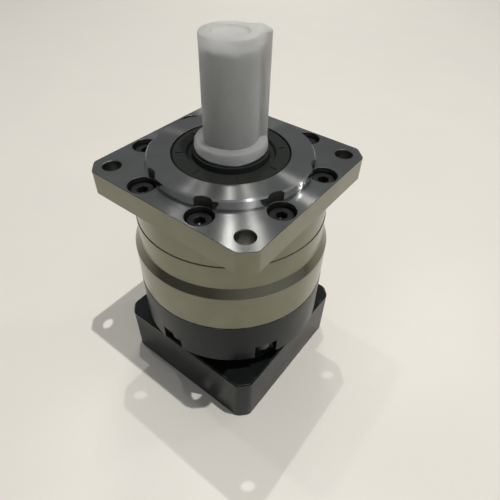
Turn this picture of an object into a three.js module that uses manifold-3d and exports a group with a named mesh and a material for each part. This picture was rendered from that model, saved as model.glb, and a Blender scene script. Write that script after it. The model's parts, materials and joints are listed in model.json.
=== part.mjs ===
// A 60 mm frame, single-stage planetary gearbox, 4:1, with a clamp-collar motor input.
// Millimetres. +Z is the shaft axis, pointing out of the output side. The origin is the centre of
// the motor face, which is the bottom of the part.
import * as THREE from "three";
import { mergeVertices } from "three/addons/utils/BufferGeometryUtils.js";
import Module from "manifold-3d";

const wasm = await Module();
wasm.setup();

// ---- Driving dimensions -------------------------------------------------------------------

const GAP = 0.3; // running and fitting clearance between neighbouring pieces
const JOINT = 0.12; // clearance in the flat joints between the housings

// Heights of the stack along the shaft axis
const PLATE_TOP_Z = 21.7;
const ADAPTER_BOTTOM_Z = 27.7;
const ADAPTER_TOP_Z = 45.6;
const RING_TOP_Z = 71.05;
const FACE_Z = 86.4; // output mounting face
const PILOT_TOP_Z = 89.8;
const SHOULDER_TOP_Z = 91;
const SHAFT_END_Z = 119;
const SLEEVE_TOP_Z = 122.5;

// Output flange
const FLANGE_SIDE = 61;
const FLANGE_THICK = 7.7;
const FLANGE_CORNER_CUT = 3.8;
const PILOT_R = 25;
const PILOT_CHAMFER = 0.5;
const MOUNT_HOLE_R = 2.75;
const MOUNT_CIRCLE_R = 35;

// Turned bodies
const BODY_R = 30.4;
const LOWER_BODY_R = 32.4;
const CONE_TOP_Z = FACE_Z - 23.9;
const CONE_BOTTOM_Z = FACE_Z - 26.9;
const ADAPTER_R = 32.5;
const ADAPTER_BORE_R = 16;
const NECK_R = 28.4;

// Motor plate
const PLATE_SIDE = 58.5;
const PLATE_CORNER_CUT = 3.4;
const MOTOR_PILOT_R = 19.05;
const MOTOR_PILOT_DEPTH = 2.5;
const MOTOR_HOLE_SPACING = 47.14;
const MOTOR_HOLE_R = 2.1;
const MOTOR_HOLE_DEPTH = 14;
const CAVITY_R = 18.7;
const CAVITY_TOP_Z = 24;
const THROAT_R = 16.5; // the bore narrows to this between the motor plate and the bearings
const THROAT_Z = 26;

// Socket-head screws: one size throughout, but for the clamp screw and the carrier screws
const SCREW_R = 1.75;
const HEAD_R = 3.5;
const HEAD_HEIGHT = 4;
const SOCKET_R = 1.73;
const SOCKET_DEPTH = 2.2;
const SCREW_HOLE_R = SCREW_R + GAP;
const FLANGE_SCREWS = { count: 8, radius: 28, start: 22.5, length: 14, sink: 1.5, tapped: 6 };
const ADAPTER_SCREWS = { count: 6, radius: 27.7, start: 30, length: 20, washer: 1.2, tapped: 10 };
const PLATE_SCREWS = { count: 4, radius: 24.5, start: 45, length: 16, seat: 17, tapped: 9 };
const COUNTERBORE_R = 4;
const POCKET_DEPTH = 6.4;

// Gears: fixed ring outside, sun on the input shaft, three planets on the output carrier
const MODULE = 0.9;
const SUN_TEETH = 18;
const PLANET_TEETH = 18;
const RING_TEETH = 54;
const PRESSURE_ANGLE = (20 * Math.PI) / 180;
const FLANK_RELIEF = 0.12; // each flank is set back by this much, for backlash
const ADDENDUM = 0.9 * MODULE;
const DEDENDUM = 1.25 * MODULE;
const PLANETS = 3;
const PLANET_ORBIT_R = ((SUN_TEETH + PLANET_TEETH) * MODULE) / 2;
const PLANET_BOTTOM_Z = 51;
const PLANET_TOP_Z = 66;
const SUN_Z = [46, PLANET_TOP_Z - 0.5];
const PIN_R = 3.5;
const BUSH_R = 5;

// Carrier and output shaft
const CARRIER_R = 22.8;
const FRONT_DISC_Z = [PLANET_TOP_Z + 0.6, 71.6];
const REAR_PLATE_Z = [46.9, PLANET_BOTTOM_Z - 0.6];
const PILLAR = { inner: 17, outer: 22.4, width: 9 };
const PIN_COVER = 1; // what is left of the carrier beyond the end of a pin hole
const CARRIER_SCREW = { radius: 1.2, head: 2.4, height: 2.2, length: 8, sink: 0.2 };
const CARRIER_TAP = { radius: 1.5, top: 60 };
const SHAFT_R = 7;
const SHAFT_CHAMFER = 0.8;
const CENTRE_HOLE = { radius: 2.1, depth: 12 };
const SHOULDER_R = 10;
const KEY = { width: 5, height: 5, rise: 9, from: 93, to: 116, angle: 63 };
const SLEEVE = { inner: 7.3, outer: 8, lip: 10.8, lipHeight: 3, bumpWidth: 6.8, bump: 10.5 };
const SLEEVE_DIMPLE = { radius: 4.6, depth: 0.7 };

// Input shaft and clamp
const HUB_R = 11.4;
const HUB_BORE_R = 7;
const HUB_Z = [8, 26];
const HUB_BORE_TOP_Z = 38;
const HUB_SLOT = { width: 1.2, top: 24 };
const INPUT_JOURNAL_R = 12.5;
const INPUT_JOURNAL_TOP_Z = 41.5;
const SUN_NECK_Z = 43.5;
const REDUCING_BUSH = { bottom: 8.5, top: 36, slit: 1 };
const MOTOR_SHAFT_R = 4;
const COLLAR = { outer: 18, bottom: 9, height: 10, slit: 1.6 };
const CLAMP_SCREW = { x: 13.9, radius: 1.4, length: 11, headRadius: 2.75, headHeight: 3, seat: 4.5 };
const PLUG = { radius: 3.2, length: 6.7, sink: 0.3, slot: 3.6 };

// Bearings: the ball circle lies between the two rings
const OUTPUT_BEARING = {
  bottom: 74.6, width: 9, bore: 10, inner: 12.8, outer: 15.9, rim: 18.5, balls: 8, ballRadius: 2.3,
};
const INPUT_BEARING = {
  bottom: 33.5, width: 7, bore: 12.5, inner: 14.4, outer: 17, rim: 18.5, balls: 9, ballRadius: 1.8,
};

// Facets of a circle
const LARGE = 40;
const MEDIUM = 24;
const SMALL = 12;
const SCREW = 10;
const DRILLED = 8;

// ---- Shapes ---------------------------------------------------------------------------------

// A manifold-3d solid from a closed three.js geometry.
function solid(geometry) {
  const bare = new THREE.BufferGeometry();
  bare.setAttribute("position", geometry.getAttribute("position"));
  bare.setIndex(geometry.index);
  const merged = mergeVertices(bare, 1e-4);
  const corners = merged.index.array;
  const kept = [];
  for (let i = 0; i < corners.length; i += 3) {
    const [a, b, c] = corners.slice(i, i + 3);
    if (a !== b && b !== c && c !== a) kept.push(a, b, c);
  }
  return new wasm.Manifold(
    new wasm.Mesh({
      numProp: 3,
      vertProperties: merged.attributes.position.array,
      triVerts: new Uint32Array(kept),
    }),
  );
}

// A solid turned about Z from a closed outline of [radius, height] points.
function turned(outline, facets = MEDIUM) {
  const points = outline.map(([r, z]) => new THREE.Vector2(r, z));
  if (THREE.ShapeUtils.area(points) < 0) points.reverse();
  points.push(points[0].clone());
  return solid(new THREE.LatheGeometry(points, facets).rotateX(Math.PI / 2));
}

// A plain ring or, with no inner radius, a disc.
function ring(inner, outer, bottom, top, facets = MEDIUM) {
  return turned([[inner, bottom], [outer, bottom], [outer, top], [inner, top]], facets);
}

// A flat outline raised between two heights, and turned about Z.
function raised(shape, bottom, top, turn = 0) {
  const settings = { depth: top - bottom, bevelEnabled: false };
  return solid(new THREE.ExtrudeGeometry(shape, settings).translate(0, 0, bottom).rotateZ(turn));
}

// A box given by its size and centre, then turned about Z by an angle in degrees.
function block(size, centre, angle = 0) {
  const box = new THREE.BoxGeometry(...size).translate(...centre);
  return solid(box.rotateZ(THREE.MathUtils.degToRad(angle)));
}

// An upright cylinder at (x, y).
function post(x, y, radius, bottom, top, facets = SMALL) {
  const cylinder = new THREE.CylinderGeometry(radius, radius, top - bottom, facets);
  return solid(cylinder.rotateX(Math.PI / 2).translate(x, y, (bottom + top) / 2));
}

// A cylinder lying along Y, from one y to another.
function rod(x, z, radius, from, to, facets = SMALL) {
  const cylinder = new THREE.CylinderGeometry(radius, radius, to - from, facets);
  return solid(cylinder.translate(x, (from + to) / 2, z));
}

// A square with its corners cut off at 45 degrees.
function cutCornerSquare(side, cut) {
  const h = side / 2;
  const corner = [[h, cut - h], [h, h - cut], [h - cut, h], [cut - h, h]];
  const corners = [...corner, ...corner.map(([x, y]) => [-x, -y])];
  return new THREE.Shape(corners.map(([x, y]) => new THREE.Vector2(x, y)));
}

// Places spaced evenly on a circle; start is in degrees from +X.
function spaced({ count, radius, start = 0 }) {
  return Array.from({ length: count }, (_, i) => {
    const degrees = start + (360 * i) / count;
    const angle = THREE.MathUtils.degToRad(degrees);
    return { x: radius * Math.cos(angle), y: radius * Math.sin(angle), angle, degrees };
  });
}

const joined = (solids) => solids.reduce((whole, piece) => whole.add(piece));
const cut = (whole, cutters) => cutters.reduce((rest, cutter) => rest.subtract(cutter), whole);

// An involute gear outline. A tooth is centred on +X. A relief below zero widens the teeth,
// which is what the cutter of an internal gear needs.
function gearOutline(teeth, addendum, dedendum, relief) {
  const pitchR = (teeth * MODULE) / 2;
  const baseR = pitchR * Math.cos(PRESSURE_ANGLE);
  const involute = (angle) => Math.tan(angle) - angle;
  const halfAtPitch = Math.PI / (2 * teeth) - relief / pitchR;
  const halfWidth = (r) => {
    const pressure = r > baseR ? Math.acos(baseR / r) : 0;
    return halfAtPitch + involute(PRESSURE_ANGLE) - involute(pressure);
  };
  const radii = [pitchR - dedendum, pitchR, pitchR + addendum];
  const points = [];
  for (let tooth = 0; tooth < teeth; tooth++) {
    const centre = (2 * Math.PI * tooth) / teeth;
    const rising = radii.map((r) => [r, centre - halfWidth(r)]);
    const falling = radii.map((r) => [r, centre + halfWidth(r)]).reverse();
    for (const [r, angle] of [...rising, ...falling]) {
      points.push(new THREE.Vector2(r * Math.cos(angle), r * Math.sin(angle)));
    }
  }
  return new THREE.Shape(points);
}

// A socket-head screw. Its head stands on z = 0 and its shank hangs below.
function socketScrew(length, { radius = SCREW_R, head = HEAD_R, height = HEAD_HEIGHT, washer = 0 } = {}) {
  const top = washer + height;
  const seat = washer ? [[head + 0.3, 0], [head + 0.3, washer], [head, washer]] : [[head, 0]];
  const outline = [[0, -length], [radius, -length], [radius, 0], ...seat, [head, top], [0, top]];
  const scale = head / HEAD_R;
  const socket = post(0, 0, SOCKET_R * scale, top - SOCKET_DEPTH * scale, top + 1, 6);
  return turned(outline, SCREW).subtract(socket);
}

// ---- Materials ------------------------------------------------------------------------------

const finish = (color, roughness, metalness) =>
  new THREE.MeshStandardMaterial({ color, roughness, metalness });

const BARE_STEEL = finish(0x9a9b9a, 0.35, 1);
const NICKEL_STEEL = finish(0x8d8672, 0.4, 1);
const BLACK_ANODISED = finish(0x1c1d1d, 0.45, 0.3);
const BLACK_OXIDE = finish(0x161616, 0.4, 0.6);
const BEARING_STEEL = finish(0xb4b5b6, 0.2, 1);
const GEAR_STEEL = finish(0x7f8183, 0.35, 1);
const BRONZE = finish(0xa77a45, 0.4, 1);
const BLACK_RUBBER = finish(0x151515, 0.8, 0);
const FROSTED_PLASTIC = finish(0xd9dad8, 0.5, 0);

// ---- Scene graph ----------------------------------------------------------------------------

const gearbox = new THREE.Group();

// Adds one solid as a named mesh, at a place and a turn about Z in radians.
function add(name, made, material, place = {}, parent = gearbox) {
  const { vertProperties, triVerts, numProp } = made.getMesh();
  const geometry = new THREE.BufferGeometry();
  const positions = new THREE.InterleavedBuffer(vertProperties, numProp);
  geometry.setAttribute("position", new THREE.InterleavedBufferAttribute(positions, 3, 0));
  geometry.setIndex(new THREE.BufferAttribute(triVerts, 1));
  const flat = geometry.toNonIndexed();
  flat.computeVertexNormals();
  const mesh = new THREE.Mesh(flat, material);
  mesh.name = name;
  mesh.position.set(place.x ?? 0, place.y ?? 0, place.z ?? 0);
  mesh.rotation.z = place.angle ?? 0;
  parent.add(mesh);
}

// ---- Output housing -------------------------------------------------------------------------

const SEAL_RECESS_R = 17.8;
const WEB_BORE_R = 15;
const SEAL_LIP_Z = 90.6;
const WEB_Z = [OUTPUT_BEARING.bottom + OUTPUT_BEARING.width + GAP, 85.2];
const CIRCLIP = { bottom: 73, height: 1.2, inner: 16.8, outer: 19.6, opening: 7 };

function outputHousing() {
  const flange = raised(cutCornerSquare(FLANGE_SIDE, FLANGE_CORNER_CUT), FACE_Z - FLANGE_THICK, FACE_Z);
  const bottom = RING_TOP_Z + JOINT;
  const body = turned([
    [0, bottom], [BODY_R, bottom], [BODY_R, FACE_Z - 1], [PILOT_R, FACE_Z - 1],
    [PILOT_R, PILOT_TOP_Z - PILOT_CHAMFER], [PILOT_R - PILOT_CHAMFER, PILOT_TOP_Z], [0, PILOT_TOP_Z],
  ], LARGE);
  const boreR = OUTPUT_BEARING.rim + GAP;
  const grooveR = CIRCLIP.outer + GAP;
  const bore = turned([
    [0, bottom - 1], [CARRIER_R + 1, bottom - 1], [CARRIER_R + 1, FRONT_DISC_Z[1] + 0.6],
    [boreR, FRONT_DISC_Z[1] + 0.6], [boreR, CIRCLIP.bottom - GAP], [grooveR, CIRCLIP.bottom - GAP],
    [grooveR, CIRCLIP.bottom + CIRCLIP.height], [boreR, CIRCLIP.bottom + CIRCLIP.height],
    [boreR, WEB_Z[0]], [WEB_BORE_R, WEB_Z[0]], [WEB_BORE_R, WEB_Z[1]],
    [SEAL_RECESS_R, WEB_Z[1]], [SEAL_RECESS_R, PILOT_TOP_Z + 1], [0, PILOT_TOP_Z + 1],
  ]);
  const floor = FACE_Z - FLANGE_SCREWS.sink - HEAD_HEIGHT;
  const screwHoles = spaced(FLANGE_SCREWS).flatMap(({ x, y }) => [
    post(x, y, COUNTERBORE_R, floor, PILOT_TOP_Z + 1),
    post(x, y, SCREW_HOLE_R, bottom - 1, floor + 1, DRILLED),
  ]);
  const mountHoles = spaced({ count: 4, radius: MOUNT_CIRCLE_R, start: 45 }).map(({ x, y }) =>
    post(x, y, MOUNT_HOLE_R, FACE_Z - FLANGE_THICK - 1, FACE_Z + 1),
  );
  return cut(flange.add(body), [bore, ...screwHoles, ...mountHoles]);
}

add("output_housing", outputHousing(), BARE_STEEL);

const flangeScrew = socketScrew(FLANGE_SCREWS.length);
spaced(FLANGE_SCREWS).forEach(({ x, y, angle }, i) => {
  const z = FACE_Z - FLANGE_SCREWS.sink - HEAD_HEIGHT + JOINT;
  add(`flange_screw_${i + 1}`, flangeScrew, BLACK_OXIDE, { x, y, z, angle });
});

// A lip seal: a flat face, a shallow channel, and a dust lip that stands up round the shaft.
function shaftSeal() {
  const bottom = WEB_Z[1] + GAP;
  const top = PILOT_TOP_Z - 0.2;
  const channel = top - 0.9;
  const lip = SHOULDER_R + GAP;
  return turned([
    [lip + 2, bottom], [SEAL_RECESS_R - GAP, bottom], [SEAL_RECESS_R - GAP, top], [13.3, top],
    [12.9, channel], [lip + 1.4, channel], [lip + 1, SEAL_LIP_Z], [lip, SEAL_LIP_Z], [lip, top - 1.8],
  ]);
}

add("shaft_seal", shaftSeal(), BLACK_RUBBER);

// An open circlip: a flat ring with a gap between its ends.
function circlip() {
  const whole = ring(CIRCLIP.inner, CIRCLIP.outer, 0, CIRCLIP.height - GAP);
  return whole.subtract(block([CIRCLIP.inner, CIRCLIP.opening, 4], [CIRCLIP.inner + 8, 0, 0]));
}

add("bearing_circlip", circlip(), BLACK_OXIDE, { z: CIRCLIP.bottom });

// ---- Bearings -------------------------------------------------------------------------------

// Half a ball groove, as outline points from one edge to the other, cut inwards or outwards.
function groove(landR, ballCircleR, grooveR, middle, side) {
  const reach = Math.acos(Math.abs(landR - ballCircleR) / grooveR);
  return [-1, 0, 1].map((share) => {
    const angle = share * reach;
    return [ballCircleR + side * grooveR * Math.cos(angle), middle + grooveR * Math.sin(angle)];
  });
}

function bearing(name, { bottom, width, bore, inner, outer, rim, balls, ballRadius }) {
  const middle = bottom + width / 2;
  const top = bottom + width;
  const circleR = (inner + outer) / 2;
  const grooveR = ballRadius + GAP;
  const innerRing = turned([
    [bore + GAP, bottom], [inner, bottom], ...groove(inner, circleR, grooveR, middle, -1),
    [inner, top], [bore + GAP, top],
  ]);
  const outerRing = turned([
    [rim, bottom], [rim, top], [outer, top],
    ...groove(outer, circleR, grooveR, middle, 1).reverse(), [outer, bottom],
  ]);
  const cage = ring(circleR - 0.4, circleR + 0.4, middle - 0.9, middle + 0.9);
  const ballSet = spaced({ count: balls, radius: circleR }).map(({ x, y }) =>
    solid(new THREE.SphereGeometry(ballRadius, 6, 4).rotateX(Math.PI / 2).translate(x, y, middle)),
  );
  add(`${name}_bearing_inner_ring`, innerRing, BEARING_STEEL);
  add(`${name}_bearing_outer_ring`, outerRing, BEARING_STEEL);
  add(`${name}_bearing_balls`, joined([cage, ...ballSet]), BEARING_STEEL);
}

bearing("output", OUTPUT_BEARING);
bearing("input", INPUT_BEARING);

// ---- Output shaft, key, sleeve and carrier -----------------------------------------------------

const PINS = { count: PLANETS, radius: PLANET_ORBIT_R };
const PILLARS = { count: PLANETS, radius: (PILLAR.inner + PILLAR.outer) / 2, start: 60 };
const KEYWAY_BOTTOM = KEY.rise - KEY.height - GAP;
const carrierScrew = socketScrew(CARRIER_SCREW.length, CARRIER_SCREW);
const CARRIER_SCREW_Z = REAR_PLATE_Z[0] + CARRIER_SCREW.sink + CARRIER_SCREW.height;

function outputShaft() {
  const [discBottom, discTop] = FRONT_DISC_Z;
  const body = turned([
    [0, discBottom], [CARRIER_R, discBottom], [CARRIER_R, discTop], [SHOULDER_R + 2, discTop],
    [SHOULDER_R + 2, OUTPUT_BEARING.bottom - GAP], [SHOULDER_R, OUTPUT_BEARING.bottom - GAP],
    [SHOULDER_R, SHOULDER_TOP_Z], [SHAFT_R, SHOULDER_TOP_Z], [SHAFT_R, SHAFT_END_Z - SHAFT_CHAMFER],
    [SHAFT_R - SHAFT_CHAMFER, SHAFT_END_Z], [0, SHAFT_END_Z],
  ]);
  const pillars = spaced(PILLARS).map(({ degrees }) => {
    const size = [PILLAR.outer - PILLAR.inner, PILLAR.width, discBottom + 1 - REAR_PLATE_Z[1] - GAP];
    return block(size, [PILLARS.radius, 0, REAR_PLATE_Z[1] + GAP + size[2] / 2], degrees);
  });
  const tapped = spaced(PILLARS).map(({ x, y }) =>
    post(x, y, CARRIER_TAP.radius, REAR_PLATE_Z[1] - 1, CARRIER_TAP.top, DRILLED),
  );
  const pinHoles = spaced(PINS).map(({ x, y }) =>
    post(x, y, PIN_R + GAP, discBottom - 1, discTop - PIN_COVER),
  );
  const reach = SHAFT_R + 1 - KEYWAY_BOTTOM;
  const length = KEY.to - KEY.from + 2 * GAP;
  const keyway = block([reach, KEY.width + 2 * GAP, length],
    [KEYWAY_BOTTOM + reach / 2, 0, (KEY.from + KEY.to) / 2], KEY.angle);
  const centreHole = post(0, 0, CENTRE_HOLE.radius, SHAFT_END_Z - CENTRE_HOLE.depth, SHAFT_END_Z + 1);
  return cut(joined([body, ...pillars]), [...tapped, ...pinHoles, keyway, centreHole]);
}

add("output_shaft", outputShaft(), BARE_STEEL);

// A parallel key with round ends.
function shaftKey() {
  const half = KEY.width / 2;
  const [low, high] = [KEY.from + half, KEY.to - half];
  const shape = new THREE.Shape();
  shape.moveTo(-half, low);
  shape.absarc(0, low, half, Math.PI, 2 * Math.PI);
  shape.absarc(0, high, half, 0, Math.PI);
  const settings = { depth: KEY.height, bevelEnabled: false, curveSegments: 8 };
  const upright = new THREE.ExtrudeGeometry(shape, settings).rotateX(Math.PI / 2).rotateZ(Math.PI / 2);
  return solid(upright.translate(KEY.rise - KEY.height, 0, 0));
}

const keyTurn = new THREE.Group();
keyTurn.rotation.z = THREE.MathUtils.degToRad(KEY.angle);
gearbox.add(keyTurn);
add("shaft_key", shaftKey(), BEARING_STEEL, {}, keyTurn);

// The thin transport sleeve slips over the shaft end and its key.
function shaftSleeve() {
  const bottom = SHOULDER_TOP_Z + GAP;
  const lipTop = bottom + SLEEVE.lipHeight;
  const outside = turned([
    [0, bottom], [SLEEVE.lip - 0.4, bottom], [SLEEVE.lip, bottom + 0.4], [SLEEVE.lip, lipTop - 1.2],
    [SLEEVE.lip - 0.5, lipTop - 0.4], [SLEEVE.lip - 1.4, lipTop], [SLEEVE.outer, lipTop],
    [SLEEVE.outer, SLEEVE_TOP_Z - 0.5], [SLEEVE.outer - 0.5, SLEEVE_TOP_Z], [0, SLEEVE_TOP_Z],
  ]);
  const bump = block([SLEEVE.bump, SLEEVE.bumpWidth, SLEEVE_TOP_Z - bottom - 0.4],
    [SLEEVE.bump / 2, 0, (SLEEVE_TOP_Z + bottom) / 2]);
  const roof = SHAFT_END_Z + GAP;
  const inside = post(0, 0, SLEEVE.inner, bottom - 1, roof, MEDIUM);
  const keyRoom = block([KEY.rise + GAP, KEY.width + 2 * GAP, KEY.to - bottom + 2],
    [(KEY.rise + GAP) / 2, 0, (KEY.to + bottom) / 2]);
  const dimple = post(0, 0, SLEEVE_DIMPLE.radius, SLEEVE_TOP_Z - SLEEVE_DIMPLE.depth, SLEEVE_TOP_Z + 1);
  return cut(outside.add(bump), [inside, keyRoom, dimple]);
}

add("shaft_sleeve", shaftSleeve(), FROSTED_PLASTIC, {}, keyTurn);

function carrierPlate() {
  const [bottom, top] = REAR_PLATE_Z;
  const sunRoomR = (SUN_TEETH * MODULE) / 2 + ADDENDUM + 0.8;
  const pinHoles = spaced(PINS).map(({ x, y }) =>
    post(x, y, PIN_R + GAP, bottom + PIN_COVER, top + 1),
  );
  const screwHoles = spaced(PILLARS).flatMap(({ x, y }) => [
    post(x, y, CARRIER_TAP.radius, bottom - 1, top + 1, DRILLED),
    post(x, y, CARRIER_SCREW.head + GAP, bottom - 1, CARRIER_SCREW_Z + GAP / 2, SCREW),
  ]);
  return cut(ring(sunRoomR, CARRIER_R, bottom, top), [...pinHoles, ...screwHoles]);
}

add("carrier_plate", carrierPlate(), GEAR_STEEL);

// The carrier screws point up, heads in the rear plate.
spaced(PILLARS).forEach(({ x, y, angle }, i) => {
  const upright = new THREE.Group();
  upright.position.set(x, y, CARRIER_SCREW_Z);
  upright.rotation.set(Math.PI, 0, angle);
  gearbox.add(upright);
  add(`carrier_screw_${i + 1}`, carrierScrew, BLACK_OXIDE, {}, upright);
});

// ---- Gears -----------------------------------------------------------------------------------

function planetGear() {
  const blank = raised(gearOutline(PLANET_TEETH, ADDENDUM, DEDENDUM, FLANK_RELIEF), 0,
    PLANET_TOP_Z - PLANET_BOTTOM_Z);
  return blank.subtract(post(0, 0, BUSH_R + GAP, -1, PLANET_TOP_Z));
}

const planet = planetGear();
const bush = ring(PIN_R + GAP, BUSH_R, 0.2, PLANET_TOP_Z - PLANET_BOTTOM_Z - 0.2, SMALL);
const pinEnds = [REAR_PLATE_Z[0] + PIN_COVER + GAP, FRONT_DISC_Z[1] - PIN_COVER - GAP];
const pin = ring(1, PIN_R, ...pinEnds, SMALL);
const planetPhase = Math.PI / PLANET_TEETH; // a gap, not a tooth, faces the sun and the ring gear

spaced(PINS).forEach(({ x, y, angle }, i) => {
  const z = PLANET_BOTTOM_Z;
  add(`planet_gear_${i + 1}`, planet, GEAR_STEEL, { x, y, z, angle: angle + planetPhase });
  add(`planet_bush_${i + 1}`, bush, BRONZE, { x, y, z });
  add(`planet_pin_${i + 1}`, pin, BEARING_STEEL, { x, y });
});

function ringGear() {
  const bottom = ADAPTER_TOP_Z + JOINT;
  const outside = turned([
    [0, bottom], [LOWER_BODY_R, bottom], [LOWER_BODY_R, CONE_BOTTOM_Z], [BODY_R + 0.2, CONE_TOP_Z],
    [BODY_R + 0.2, RING_TOP_Z - 0.4], [BODY_R - 0.2, RING_TOP_Z], [0, RING_TOP_Z],
  ], LARGE);
  const teeth = gearOutline(RING_TEETH, DEDENDUM, ADDENDUM, -FLANK_RELIEF);
  // Turned by half a pitch, so that a tooth, not a gap, points inwards at every planet.
  const toothCut = raised(teeth, bottom - 1, RING_TOP_Z + 1, Math.PI / RING_TEETH);
  const topHoles = spaced(FLANGE_SCREWS).map(({ x, y }) =>
    post(x, y, SCREW_HOLE_R, RING_TOP_Z - FLANGE_SCREWS.tapped, RING_TOP_Z + 1, DRILLED),
  );
  const bottomHoles = spaced(ADAPTER_SCREWS).map(({ x, y }) =>
    post(x, y, SCREW_HOLE_R, bottom - 1, bottom + ADAPTER_SCREWS.tapped, DRILLED),
  );
  return cut(outside, [toothCut, ...topHoles, ...bottomHoles]);
}

add("ring_gear", ringGear(), NICKEL_STEEL);

// The sun gear is cut on the input shaft, whose hollow, slotted hub takes the motor shaft.
function inputShaft() {
  const sunRootR = (SUN_TEETH * MODULE) / 2 - DEDENDUM;
  const seat = INPUT_BEARING.bottom - GAP;
  const shaft = turned([
    [HUB_BORE_R, HUB_Z[0]], [HUB_R, HUB_Z[0]], [HUB_R, HUB_Z[1]], [INPUT_JOURNAL_R + 1.5, HUB_Z[1]],
    [INPUT_JOURNAL_R + 1.5, seat], [INPUT_JOURNAL_R, seat], [INPUT_JOURNAL_R, INPUT_JOURNAL_TOP_Z],
    [sunRootR, SUN_NECK_Z], [sunRootR, PLANET_TOP_Z], [0, PLANET_TOP_Z], [0, HUB_BORE_TOP_Z],
    [HUB_BORE_R, HUB_BORE_TOP_Z],
  ]);
  const sun = raised(gearOutline(SUN_TEETH, ADDENDUM, DEDENDUM, FLANK_RELIEF), ...SUN_Z);
  const slotBottom = HUB_Z[0] - 1;
  const slots = [0, 90].map((angle) =>
    block([2 * HUB_R + 2, HUB_SLOT.width, HUB_SLOT.top - slotBottom],
      [0, 0, (HUB_SLOT.top + slotBottom) / 2], angle),
  );
  return cut(shaft.add(sun), slots);
}

add("input_shaft", inputShaft(), GEAR_STEEL);

// ---- Motor side --------------------------------------------------------------------------------

function reducingBush() {
  const { bottom, top, slit } = REDUCING_BUSH;
  const sleeve = ring(MOTOR_SHAFT_R, HUB_BORE_R - GAP, bottom, top, SMALL);
  return sleeve.subtract(block([HUB_BORE_R, slit, 2 * top], [HUB_BORE_R / 2, 0, top]));
}

add("reducing_bush", reducingBush(), BRONZE);

const CLAMP_Z = COLLAR.bottom + COLLAR.height / 2;

function clampCollar() {
  const { outer, bottom, height, slit } = COLLAR;
  const { x, radius, headRadius, headHeight, seat } = CLAMP_SCREW;
  const whole = ring(HUB_R + GAP, outer, bottom, bottom + height);
  const headRoom = headHeight + 8;
  return cut(whole, [
    block([outer, slit, height + 2], [outer / 2, 0, CLAMP_Z]),
    rod(x, CLAMP_Z, radius + GAP, -8, outer, DRILLED),
    rod(x, CLAMP_Z, headRadius + GAP, seat, seat + headRoom),
    block([6, headRoom, 2 * (headRadius + GAP)], [x + 3, seat + headRoom / 2, CLAMP_Z]),
  ]);
}

add("clamp_collar", clampCollar(), BLACK_OXIDE);

const clampTurn = new THREE.Group();
clampTurn.position.set(CLAMP_SCREW.x, CLAMP_SCREW.seat + JOINT, CLAMP_Z);
clampTurn.rotation.x = -Math.PI / 2;
gearbox.add(clampTurn);
const clampScrew = socketScrew(CLAMP_SCREW.length, {
  radius: CLAMP_SCREW.radius, head: CLAMP_SCREW.headRadius, height: CLAMP_SCREW.headHeight,
});
add("clamp_screw", clampScrew, BLACK_OXIDE, {}, clampTurn);

function inputAdapter() {
  const boreR = INPUT_BEARING.rim + GAP;
  const bearingTop = INPUT_BEARING.bottom + INPUT_BEARING.width;
  const body = ring(0, ADAPTER_R, ADAPTER_BOTTOM_Z, ADAPTER_TOP_Z, LARGE);
  const bore = turned([
    [0, ADAPTER_BOTTOM_Z - 1], [ADAPTER_BORE_R, ADAPTER_BOTTOM_Z - 1],
    [ADAPTER_BORE_R, INPUT_BEARING.bottom - GAP], [boreR, INPUT_BEARING.bottom - GAP],
    [boreR, bearingTop + GAP], [THROAT_R, bearingTop + GAP], [THROAT_R, ADAPTER_TOP_Z + 1],
    [0, ADAPTER_TOP_Z + 1],
  ]);
  const pocketTop = ADAPTER_BOTTOM_Z + POCKET_DEPTH;
  const cutters = spaced(ADAPTER_SCREWS).flatMap(({ x, y, degrees }) => [
    post(x, y, COUNTERBORE_R, ADAPTER_BOTTOM_Z - 1, pocketTop, SCREW),
    block([8, 2 * COUNTERBORE_R, POCKET_DEPTH + 1],
      [ADAPTER_SCREWS.radius + 4, 0, pocketTop - (POCKET_DEPTH + 1) / 2], degrees),
    post(x, y, SCREW_HOLE_R, pocketTop - 1, ADAPTER_TOP_Z + 1, DRILLED),
  ]);
  const tapped = spaced(PLATE_SCREWS).map(({ x, y }) =>
    post(x, y, SCREW_HOLE_R, ADAPTER_BOTTOM_Z - 1, ADAPTER_BOTTOM_Z + PLATE_SCREWS.tapped, DRILLED),
  );
  return cut(body, [bore, ...cutters, ...tapped]);
}

add("input_adapter", inputAdapter(), BLACK_ANODISED);

// The adapter screws point up: each hangs in a group turned over, head in its pocket.
const adapterScrew = socketScrew(ADAPTER_SCREWS.length, { washer: ADAPTER_SCREWS.washer });
spaced(ADAPTER_SCREWS).forEach(({ x, y, angle }, i) => {
  const upright = new THREE.Group();
  upright.position.set(x, y, ADAPTER_BOTTOM_Z + POCKET_DEPTH - JOINT);
  upright.rotation.set(Math.PI, 0, angle);
  gearbox.add(upright);
  add(`adapter_screw_${i + 1}`, adapterScrew, BLACK_OXIDE, {}, upright);
});

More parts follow.
